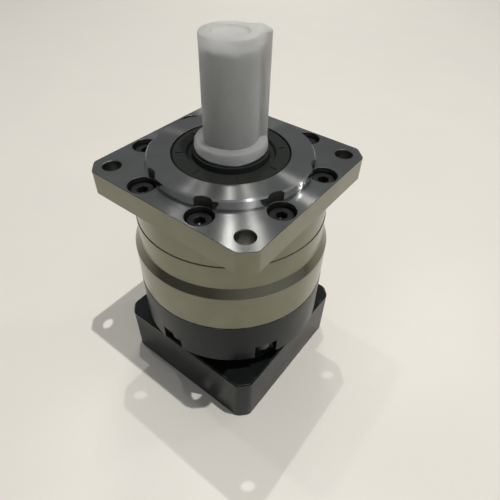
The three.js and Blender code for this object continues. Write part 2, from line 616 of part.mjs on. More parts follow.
function motorPlate() {
  const plate = raised(cutCornerSquare(PLATE_SIDE, PLATE_CORNER_CUT), 0, PLATE_TOP_Z);
  const neck = ring(0, NECK_R, PLATE_TOP_Z - 1, ADAPTER_BOTTOM_Z - JOINT, LARGE);
  const cavity = turned([
    [0, -1], [MOTOR_PILOT_R, -1], [MOTOR_PILOT_R, MOTOR_PILOT_DEPTH], [CAVITY_R, MOTOR_PILOT_DEPTH],
    [CAVITY_R, CAVITY_TOP_Z], [THROAT_R, THROAT_Z], [THROAT_R, ADAPTER_BOTTOM_Z + 1],
    [0, ADAPTER_BOTTOM_Z + 1],
  ]);
  const half = MOTOR_HOLE_SPACING / 2;
  const motorHoles = [[half, half], [-half, half], [-half, -half], [half, -half]].map(([x, y]) =>
    post(x, y, MOTOR_HOLE_R, -1, MOTOR_HOLE_DEPTH, DRILLED),
  );
  const screwHoles = spaced(PLATE_SCREWS).flatMap(({ x, y }) => [
    post(x, y, COUNTERBORE_R, -1, PLATE_SCREWS.seat, SCREW),
    post(x, y, SCREW_HOLE_R, PLATE_SCREWS.seat - 1, ADAPTER_BOTTOM_Z + 1, DRILLED),
  ]);
  const access = rod(CLAMP_SCREW.x, CLAMP_Z, PLUG.radius + GAP, 10, PLATE_SIDE / 2 + 1);
  return cut(plate.add(neck), [cavity, ...motorHoles, ...screwHoles, access]);
}

add("motor_plate", motorPlate(), BLACK_ANODISED);

const plateScrew = socketScrew(PLATE_SCREWS.length);
spaced(PLATE_SCREWS).forEach(({ x, y, angle }, i) => {
  const upright = new THREE.Group();
  upright.position.set(x, y, PLATE_SCREWS.seat - JOINT);
  upright.rotation.set(Math.PI, 0, angle);
  gearbox.add(upright);
  add(`plate_screw_${i + 1}`, plateScrew, BLACK_OXIDE, {}, upright);
});

// The slotted plug that closes the hole to the clamp screw, level with the side of the motor plate.
function accessPlug() {
  const face = PLATE_SIDE / 2 - PLUG.sink;
  const stem = rod(CLAMP_SCREW.x, CLAMP_Z, PLUG.radius, face - PLUG.length, face);
  const slot = block([PLUG.slot, 2, 1], [CLAMP_SCREW.x, face, CLAMP_Z]);
  return stem.subtract(slot);
}

add("access_plug", accessPlug(), BLACK_RUBBER);

export default gearbox;
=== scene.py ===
import json
from collections import namedtuple
from math import acos, asin, atan2, cos, hypot, pi, radians, sin, sqrt, tan

import bmesh
import bpy
from mathutils import Matrix, Vector

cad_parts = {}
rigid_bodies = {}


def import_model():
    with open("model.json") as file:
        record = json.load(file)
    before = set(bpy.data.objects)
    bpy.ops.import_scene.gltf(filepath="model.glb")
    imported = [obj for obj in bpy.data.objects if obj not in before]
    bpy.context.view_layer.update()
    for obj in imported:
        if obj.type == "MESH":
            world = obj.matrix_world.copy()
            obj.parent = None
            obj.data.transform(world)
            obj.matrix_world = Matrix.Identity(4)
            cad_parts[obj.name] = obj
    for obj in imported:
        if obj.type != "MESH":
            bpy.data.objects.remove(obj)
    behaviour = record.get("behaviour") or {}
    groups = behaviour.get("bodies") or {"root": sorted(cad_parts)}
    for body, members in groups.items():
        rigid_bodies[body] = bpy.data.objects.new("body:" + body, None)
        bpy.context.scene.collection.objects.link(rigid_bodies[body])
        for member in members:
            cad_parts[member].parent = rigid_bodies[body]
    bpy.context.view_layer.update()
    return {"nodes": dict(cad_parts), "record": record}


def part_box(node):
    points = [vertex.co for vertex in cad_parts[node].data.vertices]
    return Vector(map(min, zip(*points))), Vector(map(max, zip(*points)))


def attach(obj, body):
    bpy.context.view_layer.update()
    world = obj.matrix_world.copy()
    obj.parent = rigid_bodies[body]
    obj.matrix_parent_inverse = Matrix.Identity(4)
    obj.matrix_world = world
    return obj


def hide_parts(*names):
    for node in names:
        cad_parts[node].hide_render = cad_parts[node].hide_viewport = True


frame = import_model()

# A single-stage planetary gearbox, standing on its motor face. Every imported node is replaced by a
# finer mesh of the same size and place. Shapes are worked out in millimetres, with the shaft axis
# as Z, and turned into metres when a piece is made.

MM = 0.001
record = frame["record"]
BODY_OF = {node: body for body, nodes in record["behaviour"]["bodies"].items() for node in nodes}
MOUNT_Z = {mount["name"]: mount["pos_m"][2] / MM for mount in record["mounts"]}

# ---- Sizes read from the frame ----

Span = namedtuple("Span", "x y radius bottom top low high")


def span(node):
    """The middle, half width and height of a CAD node's box, in millimetres."""
    low, high = (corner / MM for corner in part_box(node))
    x, y, radius = (low.x + high.x) / 2, (low.y + high.y) / 2, (high.x - low.x) / 2
    return Span(x, y, radius, low.z, high.z, low, high)


def numbered(stem):
    """The CAD nodes called stem_1, stem_2 and so on."""
    return sorted(node for node in frame["nodes"] if node.rsplit("_", 1)[0] == stem)


def spans(stem):
    """The boxes of the CAD nodes called stem_1, stem_2 and so on."""
    return [span(node) for node in numbered(stem)]


HOUSING = span("output_housing")
RING = span("ring_gear")
ADAPTER = span("input_adapter")
PLATE = span("motor_plate")
SHAFT = span("output_shaft")
SLEEVE = span("shaft_sleeve")
FACE_Z = MOUNT_Z["output_face"]
UNDERSIDE_Z = MOUNT_Z["flange_back_face"]

# ---- Sizes in millimetres ----

GAP = 0.3                       # between parts that move or fit loosely
SEAT_GAP = 0.12                 # under a screw's head
BEYOND = 1                      # how far a cutter reaches past the face it starts from

PILOT_R = 25.0
BODY_R = 30.4
RING_UPPER_R = 30.6
CONE_Z = (59.5, 62.5)
MOUNT_HOLE_R = 2.75
MOUNT_CIRCLE_R = 35.0
FLANGE_CORNER = 3.8
DISC_ROOM_TOP_Z = 72.2

PLATE_CORNER = 3.4
PLATE_TOP_Z = 21.7
PLATE_CORNER_XY = PLATE.radius - PLATE_CORNER / 2
NECK_R = 28.4
MOTOR_PILOT_R = 19.05
MOTOR_PILOT_DEPTH = 2.5
MOTOR_HOLE_HALF_SPACING = 23.57

COUNTERBORE_R = 4.0
SCREW_HOLE_R = 2.05
POCKET_DEPTH = 6.4

Screw = namedtuple("Screw", "radius length head height socket washer", defaults=(0,))
M4_SHORT = Screw(1.75, 14, 3.5, 4, 1.73)
M4_LONG = Screw(1.75, 20, 3.5, 4, 1.73, 1.2)
M4_PLATE = Screw(1.75, 16, 3.5, 4, 1.73)
M3_CLAMP = Screw(1.4, 11, 2.75, 3, 1.36)
M25_CARRIER = Screw(1.2, 8, 2.4, 2.2, 1.19)

MODULE = 0.9
PRESSURE = radians(20)
FLANK_RELIEF = 0.12
ADDENDUM = 0.9 * MODULE
DEDENDUM = 1.25 * MODULE
SUN_TEETH = 18
PLANET_TEETH = 18
RING_TEETH = 54
PLANET_CIRCLE_R = MODULE * (SUN_TEETH + PLANET_TEETH) / 2
PIN_R = 3.5
BUSH_R = 5.0
CARRIER_SCREW_CIRCLE_R = 19.7

SHAFT_R = 7.0
SHOULDER_R = 10.0
SHOULDER_Z = (74.3, 91.0)
DISC_Z = (66.6, 71.6)
KEY_ANGLE = radians(63)
KEY_WIDTH = 5.0
KEY_RISE = 9.0
KEY_DEPTH = 5.0
SLEEVE_R = 8.0
SLEEVE_BORE_R = 7.3

HUB_R = 11.4
HUB_BORE_R = 7.0
HUB_TOP_Z = 26

Bearing = namedtuple("Bearing", "bore inner outer rim balls ball_radius")
OUTPUT_BEARING = Bearing(10, 12.8, 15.9, 18.5, 8, 2.3)
INPUT_BEARING = Bearing(12.5, 14.4, 17, 18.5, 9, 1.8)

# Which of its piece's materials a face has.
AS_COATED, AS_MACHINED, AS_POLISHED, AS_BORED = range(4)

# ---- Outlines ----


def softened(points, steps=4):
    """A closed outline in which each corner given as (x, y, size) is rounded over that length."""
    result = []
    for i, (x, y, *size) in enumerate(points):
        corner = Vector((x, y))
        if not size:
            result.append(corner)
            continue
        before = Vector(points[i - 1][:2]) - corner
        after = Vector(points[(i + 1) % len(points)][:2]) - corner
        start = corner + before.normalized() * size[0]
        end = corner + after.normalized() * size[0]
        for step in range(steps + 1):
            share = step / steps
            result.append(start.lerp(corner, share).lerp(corner.lerp(end, share), share))
    return result


def inset(points, depth):
    """An anticlockwise outline moved inwards."""
    result = []
    for i, point in enumerate(points):
        arriving = (point - points[i - 1]).normalized()
        leaving = (points[(i + 1) % len(points)] - point).normalized()
        inwards = Vector((-arriving.y - leaving.y, arriving.x + leaving.x))
        result.append(point + inwards * depth / (1 + arriving.dot(leaving)))
    return result


def cut_corner_square(half, cut, softness):
    corner = [(half, cut - half), (half, half - cut), (half - cut, half), (cut - half, half)]
    return [(x, y, softness) for x, y in corner] + [(-x, -y, softness) for x, y in corner]


def polar(radius, turn):
    return radius * cos(turn), radius * sin(turn)


def spaced(count, radius, start=0.0):
    """Places spaced evenly on a circle, as (x, y, turn); start is in degrees from +X."""
    turns = (radians(start + 360 * k / count) for k in range(count))
    return [(*polar(radius, turn), turn) for turn in turns]


def gear_outline(teeth, addendum, dedendum, relief, turn=0.0, steps=6):
    """Involute teeth, with a tooth centred on +X. A relief below zero widens the teeth."""
    pitch = teeth * MODULE / 2
    base = pitch * cos(PRESSURE)
    at_pitch = pi / (2 * teeth) - relief / pitch + tan(PRESSURE) - PRESSURE

    def half_width(radius):
        pressure = acos(base / radius) if radius > base else 0.0
        return at_pitch - tan(pressure) + pressure

    radii = [pitch - dedendum + (dedendum + addendum) * k / steps for k in range(steps + 1)]
    outline = []
    for tooth in range(teeth):
        centre = turn + 2 * pi * tooth / teeth
        rising = [(r, centre - half_width(r)) for r in radii]
        falling = [(r, centre + half_width(r)) for r in reversed(radii)]
        outline += [(r * cos(a), r * sin(a)) for r, a in rising + falling]
    return outline


def thread_outline(radius, bottom, top, pitch=0.7, depth=0.33):
    """The zigzag side of a threaded shank, from its chamfered end upwards."""
    points = [(radius - depth, bottom)]
    for turn in range(int((top - bottom) / pitch)):
        points.append((radius, bottom + (turn + 0.75) * pitch))
        points.append((radius - depth, bottom + (turn + 1.2) * pitch))
    return points


def ring_outline(inner, outer, bottom, top, inner_edge, outer_edge):
    """The section of a ring whose edges are broken by these lengths."""
    return [(inner, bottom + inner_edge), (inner + inner_edge, bottom), (outer - outer_edge, bottom),
            (outer, bottom + outer_edge), (outer, top - outer_edge), (outer - outer_edge, top),
            (inner + inner_edge, top), (inner, top - inner_edge)]


# ---- Solids ----


def lathe(outline, segments=96, finish=AS_COATED):
    """A bmesh turned about Z from a closed outline of (radius, height) points."""
    bm = bmesh.new()
    rings = []
    for radius, height in softened(outline):
        count = segments if radius > 1e-6 else 1
        turns = (2 * pi * k / segments for k in range(count))
        rings.append([bm.verts.new((radius * cos(a), radius * sin(a), height)) for a in turns])
    for low, high in zip(rings, rings[1:] + rings[:1]):
        for k in range(segments):
            after = k + 1
            corners = [low[k % len(low)], low[after % len(low)], high[after % len(high)], high[k % len(high)]]
            corners = list(dict.fromkeys(corners))
            if len(corners) > 2:
                bm.faces.new(corners).material_index = finish
    bmesh.ops.recalc_face_normals(bm, faces=bm.faces)
    return bm


def prism(outline, levels, finish=AS_COATED):
    """A bmesh that has the outline, moved inwards, at each (height, inset) level."""
    points = softened(outline)
    bm = bmesh.new()
    rings = []
    for height, depth in levels:
        rings.append([bm.verts.new((p.x, p.y, height)) for p in inset(points, depth)])
    for low, high in zip(rings, rings[1:]):
        for k in range(len(points)):
            bm.faces.new((low[k - 1], low[k], high[k], high[k - 1]))
    bm.faces.new(rings[0][::-1])
    bm.faces.new(rings[-1])
    for face in bm.faces:
        face.material_index = finish
    bmesh.ops.recalc_face_normals(bm, faces=bm.faces)
    return bm


def block(low, high, softness=0.0):
    """An upright box between two corners."""
    (x0, y0, z0), (x1, y1, z1) = low, high
    corners = [(x0, y0), (x1, y0), (x1, y1), (x0, y1)]
    if softness:
        corners = [(x, y, softness) for x, y in corners]
    return prism(corners, [(z0, 0), (z1, 0)])


def moved(bm, x=0.0, y=0.0, z=0.0, turn=0.0):
    bm.transform(Matrix.Translation((x, y, z)) @ Matrix.Rotation(turn, 4, "Z"))
    return bm


def hole(x, y, profile, segments=40, finish=AS_MACHINED):
    """A cutter for a round hole, from (radius, height) points up its side."""
    outline = [(0, profile[0][1]), *profile, (0, profile[-1][1])]
    return moved(lathe(outline, segments, finish), x, y)


def holes(places, profile, segments=40, finish=AS_MACHINED):
    """The same cutter at each place of a list that starts with x and y."""
    return [hole(x, y, profile, segments, finish) for x, y, *_ in places]


def through(radius, bottom, top, chamfer):
    """The profile of a through hole with a chamfer at each mouth."""
    mouth = radius + chamfer
    return [(mouth, bottom - BEYOND), (mouth, bottom), (radius, bottom + chamfer),
            (radius, top - chamfer), (mouth, top), (mouth, top + BEYOND)]


def temporary(bm):
    """An object with one empty material for each finish, so that a boolean keeps the finishes."""
    mesh = bpy.data.meshes.new("temporary")
    bm.to_mesh(mesh)
    bm.free()
    for _ in (AS_COATED, AS_MACHINED, AS_POLISHED, AS_BORED):
        mesh.materials.append(None)
    return bpy.data.objects.new("temporary", mesh)


def combined(base, others, operation="DIFFERENCE"):
    """Cuts the other solids from the base, or joins them to it. The bmeshes given are used up."""
    scene = bpy.context.scene
    target = temporary(base)
    operands = bpy.data.collections.new("operands")
    scene.collection.objects.link(target)
    scene.collection.children.link(operands)
    for other in others:
        operands.objects.link(temporary(other))
    modifier = target.modifiers.new("combine", "BOOLEAN")
    modifier.operation = operation
    modifier.solver = "EXACT"
    modifier.operand_type = "COLLECTION"
    modifier.collection = operands
    result = bmesh.new()
    result.from_object(target, bpy.context.evaluated_depsgraph_get())
    for used in [target, *operands.objects]:
        bpy.data.meshes.remove(used.data)
    bpy.data.collections.remove(operands)
    bmesh.ops.remove_doubles(result, verts=result.verts, dist=1e-4)
    return result


def gather(parts):
    """Puts separate solids in one bmesh."""
    result = bmesh.new()
    for part in parts:
        mesh = bpy.data.meshes.new("gathered")
        part.to_mesh(mesh)
        part.free()
        result.from_mesh(mesh)
        bpy.data.meshes.remove(mesh)
    return result


# ---- Materials ----


class Surface:
    """A Principled material, with short ways to add procedural detail to it."""

    def __init__(self, name, sockets):
        self.material = bpy.data.materials.new(name)
        self.material.use_nodes = True
        self.tree = self.material.node_tree
        self.shader = self.tree.nodes["Principled BSDF"]
        for socket, value in sockets.items():
            self.shader.inputs[socket].default_value = value
        self.place = self.add("ShaderNodeTexCoord").outputs["Object"]

    def add(self, kind, settings=None, inputs=None):
        node = self.tree.nodes.new(kind)
        for key, value in (settings or {}).items():
            setattr(node, key, value)
        for socket, value in (inputs or {}).items():
            self.put(value, node.inputs[socket])
        return node

    def put(self, value, socket):
        if isinstance(value, bpy.types.NodeSocket):
            self.tree.links.new(value, socket)
        else:
            socket.default_value = value

    def math(self, operation, first, second=0.0):
        return self.add("ShaderNodeMath", {"operation": operation}, {0: first, 1: second}).outputs[0]

    def spread(self, value, low, high, start=0.0, end=1.0):
        """Spreads a value between start and end over low to high."""
        inputs = {"Value": value, "From Min": start, "From Max": end, "To Min": low, "To Max": high}
        return self.add("ShaderNodeMapRange", None, inputs).outputs[0]

    def noise(self, size, detail=3.0):
        """Noise from about 0.3 to 0.7, with features of this size in millimetres."""
        inputs = {"Vector": self.place, "Scale": 1 / (size * MM), "Detail": detail}
        return self.add("ShaderNodeTexNoise", None, inputs).outputs[0]

    def mixed(self, share, first, second):
        """A colour between two colours."""
        node = self.add("ShaderNodeMix", {"data_type": "RGBA"})
        for index, value in ((0, share), (6, first), (7, second)):
            self.put(value, node.inputs[index])
        return node.outputs[2]

    def drifting(self, clouds, light, dark, reach=0.15):
        """A colour that drifts between two colours as the noise runs over its middle values."""
        return self.mixed(self.spread(clouds, 0, 1, 0.5 - reach, 0.5 + reach), light, dark)

    def rough(self, clouds, low, high):
        """A roughness that drifts between two values in the same way."""
        self.set("Roughness", self.spread(clouds, low, high, 0.3, 0.7))

    def turning_marks(self, pitch):
        """Noise that runs round the Z axis in rings of about this width in millimetres."""
        parts = self.add("ShaderNodeSeparateXYZ", None, {0: self.place})
        flat = self.add("ShaderNodeVectorMath", {"operation": "MULTIPLY"}, {0: self.place, 1: (1, 1, 0)})
        length = self.add("ShaderNodeVectorMath", {"operation": "LENGTH"}, {0: flat.outputs[0]})
        along = self.math("ADD", length.outputs["Value"], parts.outputs["Z"])
        settings = {"noise_dimensions": "1D"}
        inputs = {"W": along, "Scale": 1 / (pitch * MM), "Detail": 2.0}
        return self.add("ShaderNodeTexNoise", settings, inputs).outputs[0]

    def near(self, point):
        """The distance in millimetres from a point, or from its mirror images about X and Y."""
        folded = self.add("ShaderNodeVectorMath", {"operation": "ABSOLUTE"}, {0: self.place}).outputs[0]
        target = tuple(value * MM for value in point)
        away = self.add("ShaderNodeVectorMath", {"operation": "DISTANCE"}, {0: folded, 1: target})
        return self.math("DIVIDE", away.outputs["Value"], MM)

    def edges(self, width):
        """One on edges about this wide in millimetres, zero elsewhere."""
        rounded = self.add("ShaderNodeBevel", {"samples": 4}, {"Radius": width * MM}).outputs[0]
        normal = self.add("ShaderNodeNewGeometry").outputs["Normal"]
        same = self.add("ShaderNodeVectorMath", {"operation": "DOT_PRODUCT"}, {0: rounded, 1: normal})
        return self.spread(same.outputs["Value"], 1.0, 0.0, 0.85, 0.985)

    def bump(self, height, depth, strength=1.0):
        """Bumps of this depth in millimetres."""
        inputs = {"Height": height, "Distance": depth * MM, "Strength": strength}
        self.put(self.add("ShaderNodeBump", None, inputs).outputs[0], self.shader.inputs["Normal"])

    def set(self, socket, value):
        self.put(value, self.shader.inputs[socket])


def shade(red, green, blue):
    """A colour from its screen values of 0 to 255."""
    def linear(value):
        share = value / 255
        return share / 12.92 if share < 0.04045 else ((share + 0.055) / 1.055) ** 2.4
    return (linear(red), linear(green), linear(blue), 1.0)


def turned_steel():
    """Bare turned steel: rings round the axis stretch each highlight along the radius."""
    surface = Surface("turned_steel", {"Metallic": 1.0, "Anisotropic": 1.0, "Anisotropic Rotation": 0.25})
    rings = surface.turning_marks(0.18)
    smears = surface.noise(14, 5.0)
    grain = surface.noise(0.3, 2.0)
    rough = surface.spread(rings, 0.17, 0.21, 0.3, 0.7)
    worn = surface.spread(smears, 0.0, 0.04, 0.45, 0.7)
    surface.set("Roughness", surface.math("ADD", rough, worn))
    tone = surface.drifting(smears, shade(184, 186, 185), shade(170, 172, 170))
    surface.set("Base Color", tone)
    surface.bump(surface.math("ADD", rings, surface.math("MULTIPLY", grain, 0.4)), 0.012, 0.6)
    tangent = surface.add("ShaderNodeTangent", {"direction_type": "RADIAL", "axis": "Z"})
    surface.set("Tangent", tangent.outputs[0])
    return surface.material


def nickel(name, smoothest, roughest):
    """Warm grey electroless nickel on a fine turned surface."""
    surface = Surface(name, {"Metallic": 1.0})
    clouds = surface.noise(9, 4.0)
    grain = surface.noise(0.25, 2.0)
    tone = surface.drifting(clouds, shade(129, 128, 112), shade(124, 122, 107))
    # Lighter along the edges: edge wear and a painted highlight.
    tone = surface.mixed(surface.math("MULTIPLY", surface.edges(0.2), 0.4), tone, shade(180, 178, 166))
    surface.set("Base Color", tone)
    surface.rough(clouds, smoothest, roughest)
    surface.bump(surface.math("ADD", surface.turning_marks(0.3), grain), 0.002, 0.5)
    return surface.material


def black_anodised():
    """Semi-gloss black on machined aluminium, worn lighter along the edges; lighter flecks at the plate's top
    corners are wear and a painted highlight.
    """
    sockets = {"Specular IOR Level": 0.27, "Specular Tint": (0.79, 0.93, 1.0, 1.0)}
    surface = Surface("black_anodised", sockets)
    clouds = surface.noise(12, 4.0)
    grain = surface.noise(0.3, 3.0)
    tone = surface.drifting(clouds, shade(15, 17, 16), shade(20, 22, 21))
    patches = surface.spread(surface.noise(3, 3.0), 0.05, 0.8, 0.45, 0.65)
    # Lighter flecks near the plate's top corners: wear and a painted highlight on the corner chamfers.
    corner = surface.near((PLATE_CORNER_XY, PLATE_CORNER_XY, PLATE_TOP_Z))
    corner_wear_and_highlight = surface.spread(corner, 1.0, 0.0, 1.8, 3.2)
    flecks = surface.spread(surface.noise(0.8, 3.0), 0.1, 1.0, 0.42, 0.6)
    patches = surface.math("MAXIMUM", patches, surface.math("MULTIPLY", corner_wear_and_highlight, flecks))
    rub_and_corner_highlight = surface.math("MULTIPLY", surface.edges(0.45), patches)
    surface.set("Base Color", surface.mixed(rub_and_corner_highlight, tone, shade(125, 128, 130)))
    surface.rough(clouds, 0.28, 0.36)
    surface.bump(surface.math("ADD", surface.turning_marks(0.4), grain), 0.004, 0.5)
    return surface.material


def black_oxide():
    """Blackened steel with worn edges, for the screws."""
    surface = Surface("black_oxide", {"Metallic": 0.6})
    clouds = surface.noise(1.5, 3.0)
    tone = surface.mixed(clouds, shade(41, 42, 44), shade(57, 57, 57))
    tone = surface.mixed(surface.math("MULTIPLY", surface.edges(0.15), 0.4), tone, shade(110, 110, 110))
    surface.set("Base Color", tone)
    surface.rough(clouds, 0.25, 0.4)
    surface.bump(surface.noise(0.2, 2.0), 0.006, 0.5)
    return surface.material


def plain_metal(name, light, dark, low, high, size=4.0, depth=0.003):
    """A metal whose tone and roughness drift over the surface, with rings round its axis."""
    surface = Surface(name, {"Metallic": 1.0})
    clouds = surface.noise(size, 3.0)
    surface.set("Base Color", surface.drifting(clouds, shade(*light), shade(*dark)))
    surface.rough(clouds, low, high)
    surface.bump(surface.turning_marks(0.4), depth, 0.5)
    return surface.material


def black_rubber():
    """Dull moulded rubber."""
    surface = Surface("black_rubber", {"Specular IOR Level": 0.25})
    clouds = surface.noise(2.5, 4.0)
    surface.set("Base Color", surface.mixed(clouds, shade(20, 24, 22), shade(31, 35, 33)))
    surface.rough(clouds, 0.62, 0.75)
    surface.bump(surface.noise(0.25, 2.0), 0.01, 0.5)
    return surface.material


def frosted_plastic():
    """Milky polyethylene, which lets the shaft show through as a soft dark shape."""
    sockets = {"Transmission Weight": 0.7, "IOR": 1.3, "Specular IOR Level": 0.5}
    surface = Surface("frosted_plastic", sockets)
    clouds = surface.noise(6, 3.0)
    surface.set("Base Color", surface.drifting(clouds, shade(230, 231, 230), shade(222, 223, 222), 0.2))
    surface.rough(clouds, 0.5, 0.6)
    surface.bump(surface.noise(0.8, 2.0), 0.01, 0.4)
    return surface.material


def floor_stone():
    """Pale polished stone with a faint speckle."""
    surface = Surface("floor_stone", {"Specular IOR Level": 0.35})
    clouds = surface.noise(60, 4.0)
    specks = surface.spread(surface.noise(1.2, 2.0), 0.0, 0.12, 0.6, 0.75)
    tone = surface.drifting(clouds, shade(232, 229, 221), shade(228, 226, 219), 0.2)
    surface.set("Base Color", surface.mixed(specks, tone, shade(200, 196, 188)))
    surface.rough(clouds, 0.3, 0.36)
    return surface.material


TURNED = turned_steel()
NICKEL = nickel("satin_nickel", 0.19, 0.23)
BRIGHT_NICKEL = nickel("bright_nickel", 0.08, 0.12)
BLACK = black_anodised()
OXIDE = black_oxide()
RUBBER = black_rubber()
PLASTIC = frosted_plastic()
POLISHED = plain_metal("bearing_steel", (205, 206, 208), (190, 192, 195), 0.12, 0.2)
SOCKET_FLOOR = plain_metal("socket_steel", (106, 106, 108), (90, 91, 93), 0.14, 0.22)
BORED = plain_metal("bored_steel", (118, 119, 115), (98, 99, 96), 0.38, 0.5, 2.0)
GEAR_STEEL = plain_metal("gear_steel", (165, 168, 171), (150, 153, 157), 0.28, 0.4)
KEY_STEEL = plain_metal("key_steel", (118, 119, 123), (103, 104, 108), 0.3, 0.42)
BRONZE = plain_metal("bronze", (205, 160, 98), (178, 132, 80), 0.3, 0.45)
CAGE_BRASS = plain_metal("cage_brass", (214, 178, 104), (196, 158, 90), 0.25, 0.35)

# ---- Pieces ----


def mesh_of(name, bm, materials, sharp=28):
    """A mesh in metres from a bmesh in millimetres, which is used up. The materials are in the order
    of the finishes, and faces are smooth up to the sharp angle in degrees."""
    bmesh.ops.recalc_face_normals(bm, faces=bm.faces)
    bm.transform(Matrix.Scale(MM, 4))
    mesh = bpy.data.meshes.new(name)
    bm.to_mesh(mesh)
    bm.free()
    for material in materials:
        mesh.materials.append(material)
    mesh.shade_smooth()
    mesh.set_sharp_from_angle(angle=radians(sharp))
    return mesh


def piece(node, mesh, place=None, name=None):
    """An object that stands for a CAD node, at a place given in millimetres."""
    made = bpy.data.objects.new(name or node + "_fine", mesh)
    bpy.context.scene.collection.objects.link(made)
    if place:
        place.translation *= MM
        made.matrix_world = place
    modifier = made.modifiers.new("flat_normals", "WEIGHTED_NORMAL")
    modifier.keep_sharp = True
    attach(made, BODY_OF[node])
    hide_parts(node)
    return made


def along_y(x, y, z):
    """Lays a shape that was made along Z along Y instead, at a place."""
    return Matrix.Translation((x, y, z)) @ Matrix.Rotation(-pi / 2, 4, "X")


def at(x, y, z, turn=0.0):
    return Matrix.Translation((x, y, z)) @ Matrix.Rotation(turn, 4, "Z")


def upside_down(x, y, z, turn=0.0):
    return at(x, y, z, turn) @ Matrix.Rotation(pi, 4, "X")


# ---- Screws ----


KNURL_RIDGES = 36
KNURL_DEPTH = 0.1


def knurled(bm, radius):
    """Presses fine grooves into the side of a head that has two facets for each ridge."""
    for vert in bm.verts:
        step = round(atan2(vert.co.y, vert.co.x) * KNURL_RIDGES / pi)
        if abs(vert.co.xy.length - radius) < 1e-3 and step % 2:
            vert.co.xy *= 1 - KNURL_DEPTH / radius
    return bm


def socket_screw(kind):
    """A socket-head screw standing on z = 0, its shank hanging below."""
    top = kind.washer + kind.height
    edge = 0.12 * kind.head
    threaded = thread_outline(kind.radius, -kind.length, -0.3 * kind.length, 0.4 * kind.radius)
    shank = [(0, -kind.length), *threaded, (kind.radius, -0.25 * kind.length), (kind.radius, 0)]
    rim = kind.head + 0.28
    washer = [(rim, 0, 0.15), (rim, kind.washer - 0.15, 0.15)] if kind.washer else []
    head = [(kind.head - 0.1, kind.washer), (kind.head, kind.washer + 0.25), (kind.head, top - edge),
            (kind.head - 0.4 * edge, top - 0.4 * edge), (kind.head - edge, top), (0, top)]
    body = knurled(lathe([*shank, *washer, *head], 2 * KNURL_RIDGES), kind.head)
    floor_z = top - 1.27 * kind.socket
    chamfer = 0.18
    hexagon = [(x, y) for x, y, _ in spaced(6, kind.socket)]
    levels = [(floor_z, 0), (top - chamfer, 0), (top, -chamfer), (top + BEYOND, -chamfer)]
    across = 0.86 * kind.socket
    drill_point = hole(0, 0, [(0.02, floor_z - 0.52 * across), (across, floor_z), (across, floor_z + 0.1)])
    return combined(body, [prism(hexagon, levels), drill_point])


def screws(stem, kind, inverted=False):
    """All the screws of one kind share a mesh."""
    mesh = mesh_of(stem, socket_screw(kind), [OXIDE, SOCKET_FLOOR])
    head = kind.height + kind.washer
    for number, (node, where) in enumerate(zip(numbered(stem), spans(stem))):
        turn = 0.9 * number        # no two sockets are lined up
        if inverted:
            place = upside_down(where.x, where.y, where.bottom + head, turn)
        else:
            place = at(where.x, where.y, where.top - head, turn)
        piece(node, mesh, place)


# ---- Housings ----


def output_housing():
    """The flange with its pilot, machined bright on top, and the short body under it."""
    bottom, top = HOUSING.bottom, HOUSING.top
    flange = prism(cut_corner_square(HOUSING.radius, FLANGE_CORNER, 0.9), [
        (UNDERSIDE_Z, 0.3), (UNDERSIDE_Z + 0.3, 0), (FACE_Z - 0.12, 0), (FACE_Z, 0.12),
    ])
    body = lathe([
        (0, bottom), (BODY_R - 0.12, bottom), (BODY_R, bottom + 0.12),
        (BODY_R, UNDERSIDE_Z + BEYOND), (PILOT_R, UNDERSIDE_Z + BEYOND),
        (PILOT_R, top - 0.5), (PILOT_R - 0.5, top), (0, top),
    ], 144)
    whole = combined(flange, [body], "UNION")
    for face in whole.faces:
        if face.calc_center_median().z > FACE_Z - 0.05:
            face.material_index = AS_MACHINED
    bearing_top = span("output_bearing_outer_ring").top + GAP
    bearing_r = OUTPUT_BEARING.rim + GAP
    disc_r = SHAFT.radius + 1
    ledge_r = 15
    seal_floor = span("shaft_seal").bottom - GAP
    seal_r = span("shaft_seal").radius + GAP
    clip_r = 19.9
    clip_low = span("bearing_circlip").bottom - GAP
    clip_high = span("bearing_circlip").bottom + 1.2
    bore = lathe([
        (0, bottom - BEYOND), (disc_r + 0.3, bottom - BEYOND), (disc_r, bottom + 0.3),
        (disc_r, DISC_ROOM_TOP_Z), (bearing_r, DISC_ROOM_TOP_Z), (bearing_r, clip_low),
        (clip_r, clip_low), (clip_r, clip_high), (bearing_r, clip_high), (bearing_r, bearing_top),
        (ledge_r, bearing_top), (ledge_r, seal_floor), (seal_r, seal_floor), (seal_r, top - 0.12),
        (seal_r + 0.12, top), (seal_r + 0.12, top + BEYOND), (0, top + BEYOND),
    ], 144, AS_BORED)
    undercut = lathe([
        (PILOT_R - 0.2, FACE_Z - 0.3), (PILOT_R + 0.5, FACE_Z - 0.3), (PILOT_R + 0.7, FACE_Z + 0.4),
        (PILOT_R - 0.2, FACE_Z + 0.25),
    ], 144, AS_MACHINED)
    seat = span("flange_screw_1").top - M4_SHORT.height - SEAT_GAP
    mouth = COUNTERBORE_R + 0.1
    counterbores = holes(spans("flange_screw"), [
        (SCREW_HOLE_R, bottom - BEYOND), (SCREW_HOLE_R, seat), (COUNTERBORE_R, seat),
        (COUNTERBORE_R, FACE_Z - 0.1), (mouth, FACE_Z), (mouth, top + BEYOND),
    ], 56, AS_BORED)
    mount_hole = through(MOUNT_HOLE_R, UNDERSIDE_Z, FACE_Z, 0.2)
    mounts = holes(spaced(4, MOUNT_CIRCLE_R, 45), mount_hole, finish=AS_BORED)
    whole = combined(whole, [bore, undercut, *counterbores, *mounts])
    for face in whole.faces:
        middle = face.calc_center_median()
        if middle.z > FACE_Z + 0.3 and hypot(middle.x, middle.y) > PILOT_R - 0.1:
            face.material_index = AS_POLISHED
    return mesh_of("output_housing", whole, [NICKEL, TURNED, POLISHED, BORED])


